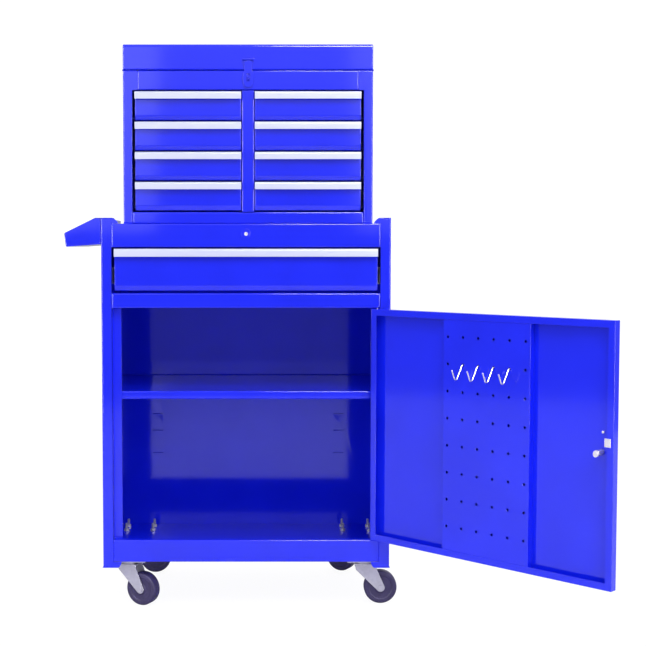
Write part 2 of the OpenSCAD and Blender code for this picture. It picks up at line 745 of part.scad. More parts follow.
module hasp_mount() color(paint) on_deck() translate([hasp_x, 0, 0]) {
    translate([0, hasp_hinge_y, hasp_hinge_z]) {
        knuckle_row(hasp_w, hasp_knuckles, 0, hasp_knuckle_d, 0, hasp_gap);
        bar_x([-hasp_w / 2 + cut, 0, 0], hasp_pin_d, hasp_w - 2 * cut);
    }
    for (x = [-hasp_w / 2, hasp_w / 2 - hasp_w / hasp_knuckles])
        block([x + hasp_gap / 2, hasp_hinge_y, hasp_hinge_z - 1],
              [x + hasp_w / hasp_knuckles - hasp_gap / 2, 0, hasp_hinge_z + 1]);
    block([-hasp_w / 2, -hasp_leaf_t, hasp_hinge_z - hasp_leaf_h / 2], [hasp_w / 2, 0, hasp_hinge_z + hasp_leaf_h / 2]);
}

// Swinging plate: a neck over the seam, a rounded tail and a slot for the staple
module hasp_plate() color(paint) on_deck() translate([hasp_x, 0, 0]) {
    y0 = hasp_hinge_y - hasp_t / 2;
    tail_r = hasp_tail_w / 2;
    tail_top = seam_z - 2;
    tongue_w = hasp_w / hasp_knuckles - hasp_gap;
    difference() {
        union() {
            bar_x([-tongue_w / 2, hasp_hinge_y, hasp_hinge_z], hasp_knuckle_d, tongue_w);
            block([-tongue_w / 2, y0, hasp_hinge_z - 6], [tongue_w / 2, y0 + hasp_t, hasp_hinge_z]);
            block([-hasp_neck_w / 2, y0, tail_top - 1], [hasp_neck_w / 2, y0 + hasp_t, hasp_hinge_z - 4]);
            block([-tail_r, y0, hasp_low_z + tail_r], [tail_r, y0 + hasp_t, tail_top]);
            bar_y([0, y0, hasp_low_z + tail_r], hasp_tail_w, hasp_t);
        }
        bar_x([-hasp_w, hasp_hinge_y, hasp_hinge_z], hasp_pin_d + 2 * fit, 2 * hasp_w);
        block([-hasp_slot_w / 2, y0 - cut, staple_z - hasp_slot_h / 2],
              [hasp_slot_w / 2, y0 + hasp_t + cut, staple_z + hasp_slot_h / 2]);
    }
}

// Staple through the hasp's slot
module hasp_staple() color(paint) on_deck() translate([hasp_x, 0, staple_z]) {
    r = 4.5;
    for (z = [-r, r]) translate([0, -4, z]) bar_y([0, 0, 0], staple_wire, 4);
    translate([0, -4, 0]) rotate([0, 90, 0]) rotate_extrude(angle = 180, start = 180)
        translate([r, 0]) circle(d = staple_wire);
}

// ---- Casters ----

// Plates with their swivel races and king pins
module caster_plate() {
    under = caster_h - plate_t;
    difference() {
        block([-plate_w / 2, -plate_d / 2, under], [plate_w / 2, plate_d / 2, caster_h]);
        for (x = [-bolt_x, bolt_x], y = [-bolt_y, bolt_y])
            bar_z([x, y, under - cut], bolt_d + 0.4, plate_t + 2 * cut);
    }
    bar_z([0, 0, under - race_h], 2 * race_r, race_h);
    bar_z([0, 0, crown_z - crown_t - 3], king_d, crown_t + 3 + under - crown_z);
    bar_z([0, 0, crown_z - crown_t - 3], 2 * king_d, 2.4);
}
module caster_plates() color(zinc) for (c = caster_at) translate([c.x, c.y, 0]) caster_plate();

// Bolts and nuts that hold the plates under the floor
module caster_bolts() color(zinc) for (c = caster_at, x = [-bolt_x, bolt_x], y = [-bolt_y, bolt_y])
    translate([c.x + x, c.y + y, 0]) {
        bar_z([0, 0, caster_h - plate_t - 3.6], bolt_d, plate_t + 3.6 + sheet + bolt_up);
        translate([0, 0, caster_h - plate_t - 3.6]) cylinder(d = nut_af / cos(30), h = 3.6, $fn = 6);
        translate([0, 0, base_z + sheet]) cylinder(d = nut_af / cos(30), h = nut_h, $fn = 6);
    }

// Point where a line from p touches the circle at c, on the given side
function touch(p, c, r, side) =
    let (v = p - c, a = atan2(v.y, v.x), b = acos(r / norm(v)))
    c + r * [cos(a + side * b), sin(a + side * b)];

// One fork with its riveted axle, trailing towards +X
module fork() color(zinc) {
    top = crown_z;
    front_low = [-crown_r + 3, top - 12];
    back_low = [crown_r + 3, top - 8];
    axle = [caster_trail, wheel_r];
    for (s = [-1, 1]) translate([0, s * fork_y - fork_t / 2, 0]) along_y(fork_t) union() {
        polygon([
            [-crown_r + 3, top], front_low, touch(front_low, axle, tip_r, 1), axle,
            touch(back_low, axle, tip_r, -1), back_low, [crown_r + 3, top]
        ]);
        translate(axle) circle(r = tip_r);
    }
    difference() {
        union() {
            bar_z([0, 0, top - crown_t], 2 * crown_r, crown_t);
            block([-crown_r + 3, -fork_y - fork_t / 2, top - crown_t], [crown_r + 3, fork_y + fork_t / 2, top]);
        }
        bar_z([0, 0, top - crown_t - cut], king_d + 2 * fit, crown_t + 2 * cut);
    }
    bar_y([axle.x, -fork_y - fork_t / 2 - 1.5, axle.y], axle_d, 2 * fork_y + fork_t + 3);
    for (y = [-fork_y - fork_t / 2 - 1.5, fork_y + fork_t / 2]) bar_y([axle.x, y, axle.y], axle_d + 3, 1.5);
}

// One solid wheel with a rounded tread and a bore for its axle
module wheel() color(rubber) translate([caster_trail, 0, wheel_r]) rotate([90, 0, 0]) {
    edge_r = 3;
    hub_r = 11;
    bore_r = axle_d / 2 + fit;
    half = wheel_w / 2;
    rim_w = 9;
    dish = 1.2;
    rotate_extrude() {
        translate([bore_r, -half]) square([hub_r - bore_r, wheel_w]);
        translate([bore_r, -half + dish]) square([wheel_r - bore_r - edge_r, wheel_w - 2 * dish]);
        translate([wheel_r - rim_w, -half + edge_r]) square([rim_w, wheel_w - 2 * edge_r]);
        translate([wheel_r - rim_w, -half]) square([rim_w - edge_r, wheel_w]);
        for (z = [-half + edge_r, half - edge_r]) translate([wheel_r - edge_r, z]) circle(r = edge_r);
    }
}

left_side_panel();
right_side_panel();
back_panel();
floor_pan();
top_deck();
mid_rail();
shelf();
drawer_slides();
side_tray();
caster_plates();
caster_bolts();
drawer_lock_housing();
drawer_lock_plug();
door_panel();
pegboard();
peg_hooks();
door_hinge_pins();
door_catch();
door_lock_housing();
door_lock_plug();
wide_drawer();
wide_drawer_pull();
wide_drawer_runners();
at_caster(0) fork();  // fork_front_left
at_caster(1) fork();  // fork_front_right
at_caster(2) fork();  // fork_rear_left
at_caster(3) fork();  // fork_rear_right
at_caster(0) wheel();  // wheel_front_left
at_caster(1) wheel();  // wheel_front_right
at_caster(2) wheel();  // wheel_rear_left
at_caster(3) wheel();  // wheel_rear_right
chest_left_side();
chest_right_side();
chest_back();
chest_floor();
chest_till();
chest_divider();
chest_runners();
drawer_left(1);  // drawer_left_1
drawer_left(2);  // drawer_left_2
drawer_left(3);  // drawer_left_3
drawer_left(4);  // drawer_left_4
drawer_right(1);  // drawer_right_1
drawer_right(2);  // drawer_right_2
drawer_right(3);  // drawer_right_3
drawer_right(4);  // drawer_right_4
pull_left(1);  // pull_left_1
pull_left(2);  // pull_left_2
pull_left(3);  // pull_left_3
pull_left(4);  // pull_left_4
pull_right(1);  // pull_right_1
pull_right(2);  // pull_right_2
pull_right(3);  // pull_right_3
pull_right(4);  // pull_right_4
lid();
lid_hinge_fixed_leaf();
lid_hinge_moving_leaf();
hasp_mount();
hasp_plate();
hasp_staple();
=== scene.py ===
import json
import math

import bmesh
import bpy
from bpy.props import FloatProperty, FloatVectorProperty, IntProperty, PointerProperty
from bpy.types import Operator, Panel, PropertyGroup
from mathutils import Matrix, Vector

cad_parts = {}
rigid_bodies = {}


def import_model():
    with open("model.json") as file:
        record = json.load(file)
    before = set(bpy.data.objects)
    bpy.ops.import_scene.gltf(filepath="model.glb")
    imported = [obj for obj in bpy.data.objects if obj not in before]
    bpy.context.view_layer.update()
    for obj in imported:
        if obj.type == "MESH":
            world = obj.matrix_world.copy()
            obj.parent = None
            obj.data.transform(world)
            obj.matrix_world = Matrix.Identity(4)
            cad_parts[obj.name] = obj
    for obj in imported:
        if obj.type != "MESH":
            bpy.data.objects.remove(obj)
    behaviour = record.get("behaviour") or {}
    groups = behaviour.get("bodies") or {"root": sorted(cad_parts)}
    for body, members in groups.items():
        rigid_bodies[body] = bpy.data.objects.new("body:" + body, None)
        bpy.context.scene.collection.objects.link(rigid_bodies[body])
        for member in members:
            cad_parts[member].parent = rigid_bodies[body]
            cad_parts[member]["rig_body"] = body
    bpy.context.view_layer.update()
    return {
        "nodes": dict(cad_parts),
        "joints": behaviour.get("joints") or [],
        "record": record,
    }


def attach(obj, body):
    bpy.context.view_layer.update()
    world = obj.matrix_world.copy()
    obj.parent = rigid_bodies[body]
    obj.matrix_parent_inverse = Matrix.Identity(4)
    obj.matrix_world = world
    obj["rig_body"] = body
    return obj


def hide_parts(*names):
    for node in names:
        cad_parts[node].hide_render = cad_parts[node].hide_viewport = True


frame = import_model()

bl_info = {
    "name": "Rolling tool cart",
    "version": (1, 0, 0),
    "blender": (4, 5, 0),
    "location": "View3D > Sidebar > Tool Cart",
    "description": "Finishes the pressed, turned and moulded pieces of a rolling steel tool cart",
    "category": "Object",
}

MM = 0.001
WELD = 1e-6
FLAT = math.radians(0.4)
SHARP = math.radians(30)
SHADE_SPLIT = math.radians(38)
FULL_TURN = 2 * math.pi
FOLD_REACH = 2.2
EDGE_STEPS = 2
DRAWER_BEND = 1 * MM
DRAWER_SHARP = math.radians(12)
DOOR_BEND = 0.5 * MM
HASP_BEND = 0.5 * MM
FORK_BEND = 2 * MM
LEAF_EDGE = 0.1 * MM
HOOK_SPACING = 10 * MM
BOLT_SPACING = 8 * MM
HOOK_PEG = 5 * MM
BOARD_SHEET = 1 * MM
HOOK_CORNER = 2.5 * MM
HOOK_ARC_STEPS = 14
BARREL_STEPS = 32
WHEEL_STEPS = 80
FLOOR_RADIUS = 3.2
FLOOR_SIDES = 96
FLOOR_GLOW = 1.05
FLOOR_WHITE_SHARE = 0.9
WALL_GLOW = 1.1
SENSOR_WIDTH = 36
STUDIO_DEPTH = 100
X, Y, Z = Vector((1, 0, 0)), Vector((0, 1, 0)), Vector((0, 0, 1))

BODY_OF = {name: node["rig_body"] for name, node in frame["nodes"].items()}
SLOT_OF = {part["node"]: part["material_slot"] for part in frame["record"]["subparts"]}
JOINTS = {joint["name"]: joint for joint in frame["joints"]}
CORNERS = ("front_left", "front_right", "rear_left", "rear_right")
SIDES = ("left", "right")
ROWS = (1, 2, 3, 4)


# ---- Settings ----

class CartForm(PropertyGroup):
    bend_radius: FloatProperty(
        name="Bend radius", description="Outer radius of the folds in the steel sheet",
        default=2.4 * MM, min=0.8 * MM, max=3 * MM, subtype="DISTANCE", unit="LENGTH")
    raw_edge: FloatProperty(
        name="Raw edge", description="Rounding that the paint gives a cut edge of the sheet",
        default=0.28 * MM, min=0.1 * MM, max=0.4 * MM, subtype="DISTANCE", unit="LENGTH")
    bend_steps: IntProperty(
        name="Bend steps", description="Facets across each fold", default=4, min=2, max=8)
    wire: FloatProperty(
        name="Hook wire", description="Diameter of the wire of the peg hooks",
        default=2.6 * MM, min=2 * MM, max=3.6 * MM, subtype="DISTANCE", unit="LENGTH")
    hook_drop: FloatProperty(
        name="Hook drop", description="Length of a hook's slanting drop",
        default=27 * MM, min=12 * MM, max=30 * MM, subtype="DISTANCE", unit="LENGTH")
    hook_slant: FloatProperty(
        name="Hook slant", description="Angle by which a hook's drop stands off the board",
        default=math.radians(33), min=0, max=math.radians(40), subtype="ANGLE", unit="ROTATION")
    hook_bend: FloatProperty(
        name="Hook bend", description="Radius of the turned-up bend of a hook",
        default=5 * MM, min=3 * MM, max=10 * MM, subtype="DISTANCE", unit="LENGTH")
    hook_turn: FloatProperty(
        name="Hook turn", description="Angle through which a hook's end is turned up",
        default=math.radians(120), min=math.radians(90), max=math.pi, subtype="ANGLE", unit="ROTATION")
    hook_tip: FloatProperty(
        name="Hook tip", description="Length of a hook's straight end",
        default=17 * MM, min=4 * MM, max=20 * MM, subtype="DISTANCE", unit="LENGTH")
    thread_pitch: FloatProperty(
        name="Thread pitch", description="Pitch of the thread on the caster bolts",
        default=1 * MM, min=0.7 * MM, max=1.5 * MM, subtype="DISTANCE", unit="LENGTH")


class CartFinish(PropertyGroup):
    paint: FloatVectorProperty(
        name="Paint", description="Colour of the gloss paint", subtype="COLOR", size=3,
        default=(0.005, 0.014, 0.69), min=0, max=1)
    paint_deep: FloatVectorProperty(
        name="Paint, thick", description="Colour of the paint where it lies thicker",
        subtype="COLOR", size=3, default=(0.004, 0.012, 0.63), min=0, max=1)
    # Painted highlight: a paler blue laid on the folded and cut edges of the paint, in place of the light
    # that the folds catch.
    paint_edge_highlight: FloatVectorProperty(
        name="Paint, thin", description="Colour of the paint where an edge shows through it",
        subtype="COLOR", size=3, default=(0.10, 0.13, 0.84), min=0, max=1)
    aluminium: FloatVectorProperty(
        name="Aluminium", description="Colour of the anodised pulls", subtype="COLOR", size=3,
        default=(0.42, 0.44, 0.60), min=0, max=1)
    zinc: FloatVectorProperty(
        name="Zinc", description="Colour of the plated steel", subtype="COLOR", size=3,
        default=(0.34, 0.33, 0.41), min=0, max=1)
    chrome: FloatVectorProperty(
        name="Chrome", description="Colour of the bright fittings", subtype="COLOR", size=3,
        default=(0.58, 0.56, 0.66), min=0, max=1)
    rubber: FloatVectorProperty(
        name="Wheel", description="Colour of the moulded wheels", subtype="COLOR", size=3,
        default=(0.036, 0.028, 0.085), min=0, max=1)


class CartStudio(PropertyGroup):
    lens: FloatProperty(
        name="Lens", description="Focal length of the camera", default=68.17, min=20, max=200,
        unit="CAMERA")
    eye_x: FloatProperty(
        name="Camera across", description="Camera's place across the cart", default=0.0336,
        subtype="DISTANCE", unit="LENGTH")
    eye_y: FloatProperty(
        name="Camera depth", description="Camera's place in front of the cart", default=-2.4808,
        subtype="DISTANCE", unit="LENGTH")
    eye_z: FloatProperty(
        name="Camera height", description="Camera's height above the floor", default=0.7006,
        subtype="DISTANCE", unit="LENGTH")
    tilt: FloatProperty(
        name="Camera tilt", description="Angle by which the camera looks down",
        default=math.radians(3.33), subtype="ANGLE", unit="ROTATION")
    shift_x: FloatProperty(
        name="Shift across", description="Sideways shift of the frame", default=0.0918)
    shift_y: FloatProperty(
        name="Shift up", description="Upward shift of the frame", default=-0.0106)
    surround: FloatProperty(
        name="Surround", description="Brightness of the white studio around the cart",
        default=1.0, min=0)
    strip: FloatProperty(
        name="Strip lights", description="Power of the strips that edge the folds",
        default=140, min=0)
    key: FloatProperty(
        name="Key light", description="Power of the large soft light", default=40, min=0)


# ---- Materials ----

class Wiring:
    """Adds nodes to one node tree, left to right."""

    def __init__(self, tree):
        self.tree, self.column = tree, 0

    def add(self, kind, **values):
        node = self.tree.nodes.new(kind)
        node.location = (self.column, 0)
        self.column += 200
        for name, value in values.items():
            setattr(node, name, value)
        return node

    def join(self, source, output, target, name):
        self.tree.links.new(source.outputs[output], target.inputs[name])

    def noise(self, vector, output, scale, detail, roughness):
        node = self.add("ShaderNodeTexNoise")
        node.inputs["Scale"].default_value = scale
        node.inputs["Detail"].default_value = detail
        node.inputs["Roughness"].default_value = roughness
        self.join(vector, output, node, "Vector")
        return node

    def remap(self, source, output, low, high, to_low, to_high):
        node = self.add("ShaderNodeMapRange")
        for name, value in zip(("From Min", "From Max", "To Min", "To Max"), (low, high, to_low, to_high)):
            node.inputs[name].default_value = value
        self.join(source, output, node, "Value")
        return node

    def maths(self, operation, first, output, other):
        node = self.add("ShaderNodeMath", operation=operation)
        self.join(first, output, node, 0)
        if isinstance(other, (int, float)):
            node.inputs[1].default_value = other
        else:
            self.join(other[0], other[1], node, 1)
        return node

    def blend(self, factor, output, first, second):
        node = self.add("ShaderNodeMix", data_type="RGBA")
        node.inputs["A"].default_value = (*first, 1)
        node.inputs["B"].default_value = (*second, 1)
        self.join(factor, output, node, "Factor")
        return node


def new_group(name, inputs, outputs):
    """An empty shader node group with the given float sockets, besides a Vector input."""
    group = bpy.data.node_groups.new(name, "ShaderNodeTree")
    group.interface.new_socket("Vector", in_out="INPUT", socket_type="NodeSocketVector")
    for label, value in inputs:
        socket = group.interface.new_socket(label, in_out="INPUT", socket_type="NodeSocketFloat")
        socket.default_value = value
    for label in outputs:
        group.interface.new_socket(label, in_out="OUTPUT", socket_type="NodeSocketFloat")
    wiring = Wiring(group)
    return wiring, wiring.add("NodeGroupInput"), wiring.add("NodeGroupOutput")


def skin_group():
    """Fine pebble of a sprayed or moulded skin on a gently wavy sheet."""
    wiring, given, result = new_group(
        "skin", (("Pebble Scale", 600), ("Pebble Height", 1), ("Wave Scale", 9), ("Wave Height", 8)),
        ("Height", "Pebble", "Cloud"))
    heights = []
    for label in ("Pebble", "Wave"):
        noise = wiring.add("ShaderNodeTexNoise")
        noise.inputs["Detail"].default_value = 1.5
        wiring.join(given, "Vector", noise, "Vector")
        wiring.join(given, label + " Scale", noise, "Scale")
        heights.append(wiring.maths("MULTIPLY", noise, "Fac", (given, label + " Height")))
        wiring.join(noise, "Fac", result, {"Pebble": "Pebble", "Wave": "Cloud"}[label])
    total = wiring.maths("ADD", heights[0], 0, (heights[1], 0))
    wiring.join(total, 0, result, "Height")


def brush_group():
    """Fine parallel lines from rolling or brushing, along X of the given vector."""
    wiring, given, result = new_group(
        "brush", (("Along", 12), ("Across", 1500)), ("Lines", "Mottle"))
    scale = wiring.add("ShaderNodeCombineXYZ")
    for axis, label in zip("XYZ", ("Along", "Across", "Across")):
        wiring.join(given, label, scale, axis)
    stretch = wiring.add("ShaderNodeVectorMath", operation="MULTIPLY")
    wiring.join(given, "Vector", stretch, 0)
    wiring.join(scale, 0, stretch, 1)
    lines = wiring.noise(stretch, 0, 1, 3, 0.6)
    mottle = wiring.noise(given, "Vector", 45, 4, 0.6)
    wiring.join(lines, "Fac", result, "Lines")
    wiring.join(mottle, "Fac", result, "Mottle")


def edge_wear_and_highlight_group():
    """Mask of the folded and cut edges, broken up by a grain: rubbed wear in the roughness of the metals
    and the wheel, and a painted highlight in the colour of the paint.
    """
    wiring, given, result = new_group("rub", (("Grain", 130), ("Reach", 0.5 * MM)), ("Rub",))
    smooth = wiring.add("ShaderNodeBevel", samples=4)
    wiring.join(given, "Reach", smooth, "Radius")
    shape = wiring.add("ShaderNodeNewGeometry")
    along = wiring.add("ShaderNodeVectorMath", operation="DOT_PRODUCT")
    wiring.join(smooth, "Normal", along, 0)
    wiring.join(shape, "Normal", along, 1)
    edge = wiring.remap(along, "Value", 1.0, 0.9, 0, 1)
    noise = wiring.add("ShaderNodeTexNoise")
    wiring.join(given, "Vector", noise, "Vector")
    wiring.join(given, "Grain", noise, "Scale")
    rub = wiring.maths("MULTIPLY", edge, 0, (noise, "Fac"))
    rub.use_clamp = True
    wiring.join(rub, 0, result, "Rub")


def start_material(name, groups):
    """A new material with object coordinates, its shader and the named shared groups."""
    material = bpy.data.materials.new(name)
    material.use_nodes = True
    wiring = Wiring(material.node_tree)
    shader = material.node_tree.nodes["Principled BSDF"]
    place = wiring.add("ShaderNodeTexCoord")
    used = []
    for group in groups:
        node = wiring.add("ShaderNodeGroup", node_tree=bpy.data.node_groups[group])
        wiring.join(place, "Object", node, "Vector")
        used.append(node)
    return material, wiring, shader, used


def bump(wiring, source, output, shader, distance):
    node = wiring.add("ShaderNodeBump")
    node.inputs["Distance"].default_value = distance
    node.inputs["Strength"].default_value = 1.0
    wiring.join(source, output, node, "Height")
    wiring.join(node, "Normal", shader, "Normal")


def set_shader(shader, **values):
    for name, value in values.items():
        shader.inputs[name.replace("_", " ")].default_value = value


def paint_material(finish):
    """Gloss paint on sheet steel, with a faint pebble, thicker pools and a painted highlight, a paler
    blue, along its folded and cut edges.
    """
    material, wiring, shader, (skin, rub) = start_material("gloss_paint", ("skin", "rub"))
    pool = wiring.remap(skin, "Cloud", 0.35, 0.68, 0, 1)
    colour = wiring.blend(pool, 0, finish.paint, finish.paint_deep)
    # Painted highlight: the edge mask lightens the blue along the folds and cut edges.
    edge_highlight = wiring.maths("MULTIPLY", rub, "Rub", 0.35)
    edge = wiring.blend(edge_highlight, 0, finish.paint, finish.paint_edge_highlight)
    wiring.join(colour, "Result", edge, "A")
    wiring.join(edge, "Result", shader, "Base Color")
    gloss = wiring.remap(skin, "Pebble", 0.3, 0.7, 0.07, 0.10)
    wiring.join(gloss, 0, shader, "Roughness")
    set_shader(shader, Specular_IOR_Level=0.4)
    bump(wiring, skin, "Height", shader, 0.004 * MM)
    return material


def aluminium_material(finish):
    """Satin anodised aluminium with drawn lines along the pull."""
    material, wiring, shader, (brush, rub) = start_material("anodised_aluminium", ("brush", "rub"))
    tone = wiring.remap(brush, "Lines", 0.3, 0.7, 0, 1)
    colour = wiring.blend(tone, 0, finish.aluminium, [0.97 * c for c in finish.aluminium])
    wiring.join(colour, "Result", shader, "Base Color")
    matt = wiring.remap(brush, "Lines", 0.3, 0.7, 0.32, 0.38)
    bright = wiring.maths("SUBTRACT", matt, 0, (rub, "Rub"))
    wiring.join(bright, 0, shader, "Roughness")
    set_shader(shader, Metallic=0.12, Specular_IOR_Level=0.1)
    bump(wiring, brush, "Lines", shader, 0.002 * MM)
    return material


def zinc_material(finish):
    """Bright zinc plating with a mottled bloom and rubbed edges."""
    material, wiring, shader, (brush, skin, rub) = start_material("zinc_plate", ("brush", "skin", "rub"))
    brush.inputs["Along"].default_value = 260
    brush.inputs["Across"].default_value = 420
    bloom = wiring.remap(brush, "Mottle", 0.35, 0.65, 0, 1)
    colour = wiring.blend(bloom, 0, finish.zinc, [0.8 * c for c in finish.zinc])
    wiring.join(colour, "Result", shader, "Base Color")
    matt = wiring.remap(brush, "Mottle", 0.3, 0.7, 0.28, 0.5)
    worn = wiring.maths("SUBTRACT", matt, 0, (rub, "Rub"))
    wiring.join(worn, 0, shader, "Roughness")
    set_shader(shader, Metallic=0.35, Specular_IOR_Level=0.3)
    skin.inputs["Pebble Scale"].default_value = 900
    bump(wiring, skin, "Height", shader, 0.01 * MM)
    return material


def chrome_material(finish):
    """Polished nickel-chrome with hairline scratches."""
    material, wiring, shader, (brush, rub) = start_material("bright_chrome", ("brush", "rub"))
    brush.inputs["Along"].default_value = 60
    brush.inputs["Across"].default_value = 2400
    haze = wiring.remap(brush, "Mottle", 0.35, 0.7, 0, 1)
    colour = wiring.blend(haze, 0, finish.chrome, [0.86 * c for c in finish.chrome])
    wiring.join(colour, "Result", shader, "Base Color")
    matt = wiring.remap(brush, "Lines", 0.35, 0.75, 0.10, 0.26)
    worn = wiring.maths("ADD", matt, 0, (rub, "Rub"))
    wiring.join(worn, 0, shader, "Roughness")
    set_shader(shader, Metallic=0.7)
    bump(wiring, brush, "Lines", shader, 0.003 * MM)
    return material


def rubber_material(finish):
    """Moulded dark wheel with a dull pebble and dust in the tread."""
    material, wiring, shader, (skin, rub) = start_material("moulded_wheel", ("skin", "rub"))
    skin.inputs["Pebble Scale"].default_value = 1400
    skin.inputs["Wave Scale"].default_value = 60
    skin.inputs["Wave Height"].default_value = 3
    dust = wiring.remap(skin, "Cloud", 0.45, 0.75, 0, 1)
    colour = wiring.blend(dust, 0, finish.rubber, [1.3 * c + 0.004 for c in finish.rubber])
    wiring.join(colour, "Result", shader, "Base Color")
    matt = wiring.remap(skin, "Pebble", 0.3, 0.7, 0.40, 0.55)
    polished = wiring.maths("SUBTRACT", matt, 0, (rub, "Rub"))
    wiring.join(polished, 0, shader, "Roughness")
    set_shader(shader, Specular_IOR_Level=0.12)
    bump(wiring, skin, "Height", shader, 0.02 * MM)
    return material


FINISHES = {
    "paint": paint_material, "aluminium": aluminium_material, "zinc": zinc_material,
    "chrome": chrome_material, "rubber": rubber_material,
}
MATERIALS = {}


# ---- Shared modelling steps ----

def node_mesh(node):
    """A welded copy of a CAD node's mesh, with flat faces merged."""
    bm = bmesh.new()
    bm.from_mesh(frame["nodes"][node].data)
    bmesh.ops.remove_doubles(bm, verts=bm.verts, dist=WELD)
    bmesh.ops.dissolve_limit(bm, angle_limit=FLAT, verts=bm.verts, edges=bm.edges)
    return bm


def face_reach(face, edge):
    """How far a face reaches from one of its edges."""
    start = edge.verts[0].co
    away = face.normal.cross(edge.verts[1].co - start).normalized()
    return max(abs((vert.co - start).dot(away)) for vert in face.verts)


def round_edges(bm, radius, steps, reach=0.0, angle=SHARP):
    """Rounds the convex edges that turn by more than an angle and lie between faces of some width."""
    bm.normal_update()
    picked = [
        edge for edge in bm.edges
        if len(edge.link_faces) == 2 and edge.is_convex and edge.calc_face_angle(0) > angle
        and (not reach or min(face_reach(face, edge) for face in edge.link_faces) > reach)
    ]
    if picked:
        bmesh.ops.bevel(
            bm, geom=picked, offset=radius, offset_type="OFFSET", segments=steps, profile=0.5,
            affect="EDGES", clamp_overlap=False, material=-1)


def show(bm, name, body, finish, *nodes):
    """Makes a piece of a finished bmesh and puts it on its CAD body, in place of CAD nodes."""
    mesh = bpy.data.meshes.new(name)
    bm.to_mesh(mesh)
    bm.free()
    mesh.shade_smooth()
    mesh.set_sharp_from_angle(angle=SHADE_SPLIT)
    piece = bpy.data.objects.new(name, mesh)
    bpy.context.scene.collection.objects.link(piece)
    mesh.materials.append(MATERIALS[finish])
    weights = piece.modifiers.new("even_shading", "WEIGHTED_NORMAL")
    weights.keep_sharp = True
    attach(piece, body)
    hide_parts(*nodes)


def pressed_piece(context, node, bend=None, angle=SHARP):
    """A CAD node with the rounded folds and paint-softened edges of a real pressing."""
    form = context.scene.cart_form
    radius = form.bend_radius if bend is None else bend
    bm = node_mesh(node)
    if radius > 0:
        round_edges(bm, radius, form.bend_steps, FOLD_REACH * radius, angle)
    round_edges(bm, form.raw_edge, EDGE_STEPS)
    show(bm, node + "_pressed", BODY_OF[node], SLOT_OF[node], node)


def turned(profile, steps):
    """A solid turned about Z from a profile of (radius, height) points that ends on the axis or closes."""
    bm = bmesh.new()
    verts = [bm.verts.new((radius, 0, height)) for radius, height in profile]
    edges = [bm.edges.new(pair) for pair in zip(verts, verts[1:])]
    bmesh.ops.spin(
        bm, geom=verts + edges, cent=(0, 0, 0), axis=Z, angle=FULL_TURN, steps=steps, use_merge=True)
    bmesh.ops.remove_doubles(bm, verts=bm.verts, dist=WELD)
    bmesh.ops.recalc_face_normals(bm, faces=bm.faces)
    return bm


def tube(path, radius, sides=14):
    """A round wire along a path of points, with closed and softened ends."""
    bm = bmesh.new()
    rings = []
    for index, point in enumerate(path):
        ahead = path[min(index + 1, len(path) - 1)] - path[max(index - 1, 0)]
        turn = ahead.to_track_quat("Z", "X").to_matrix().to_4x4()
        made = bmesh.ops.create_circle(
            bm, segments=sides, radius=radius, matrix=Matrix.Translation(point) @ turn)
        rings.append(list({edge for vert in made["verts"] for edge in vert.link_edges}))
    for first, second in zip(rings, rings[1:]):
        bmesh.ops.bridge_loops(bm, edges=first + second)
    caps = [bmesh.ops.contextual_create(bm, geom=ring)["faces"][0] for ring in (rings[0], rings[-1])]
    rims = [edge for cap in caps for edge in cap.edges]
    bmesh.ops.bevel(bm, geom=rims, offset=0.3 * radius, offset_type="OFFSET", segments=3, profile=0.5,
                    affect="EDGES", clamp_overlap=True, material=-1)
    bmesh.ops.recalc_face_normals(bm, faces=bm.faces)
    return bm


def rounded(path, radius, steps=6):
    """A path of points with each corner but the ends rounded off by an arc's chord points."""
    points = [path[0]]
    for before, corner, after in zip(path, path[1:], path[2:]):
        start = corner + (before - corner).normalized() * radius
        end = corner + (after - corner).normalized() * radius
        for step in range(steps + 1):
            share = step / steps
            points.append(start.lerp(corner, share).lerp(corner.lerp(end, share), share))
    return points + [path[-1]]


def thread(radius, pitch, length, steps=14):
    """A screw thread about Z, from the origin upwards, round a solid core."""
    bm = bmesh.new()
    depth = 0.55 * pitch
    verts = [bm.verts.new(co) for co in (
        (radius - depth, 0, 0), (radius, 0, pitch / 2), (radius - depth, 0, pitch))]
    edges = [bm.edges.new(pair) for pair in zip(verts, verts[1:])]
    turns = int(length / pitch) - 1
    bmesh.ops.spin(bm, geom=verts + edges, cent=(0, 0, 0), axis=Z, angle=FULL_TURN * turns,
                   steps=steps * turns, dvec=Z * (pitch / steps))
    bmesh.ops.remove_doubles(bm, verts=bm.verts, dist=WELD)
    bmesh.ops.recalc_face_normals(bm, faces=bm.faces)
    core = turned([(0, 0), (radius - depth, 0), (radius - depth, length - depth / 2),
                   (radius - 1.5 * depth, length), (0, length)], steps)
    merge(bm, core, Matrix.Identity(4))
    return bm


def hexagon(across, height, bore):
    """A hexagon nut about Z with chamfered corners and a countersunk bore."""
    bm = bmesh.new()
    bmesh.ops.create_cone(bm, cap_ends=True, segments=6, radius1=across / math.sqrt(3),
                          radius2=across / math.sqrt(3), depth=height,
                          matrix=Matrix.Translation((0, 0, height / 2)))
    bmesh.ops.bevel(bm, geom=list(bm.edges), offset=0.05 * across, offset_type="OFFSET", segments=2,
                    profile=0.5, affect="EDGES", clamp_overlap=True, material=-1)
    if bore:
        washer = turned([(bore, height), (1.25 * bore, 1.06 * height), (1.4 * bore, height)], 24)
        merge(bm, washer, Matrix.Identity(4))
    return bm


def barrel(radius, length, edge):
    """A short round bar along Z with softened rims."""
    return turned([(0, 0), (radius - edge, 0), (radius, edge), (radius, length - edge),
                   (radius - edge, length), (0, length)], BARREL_STEPS)


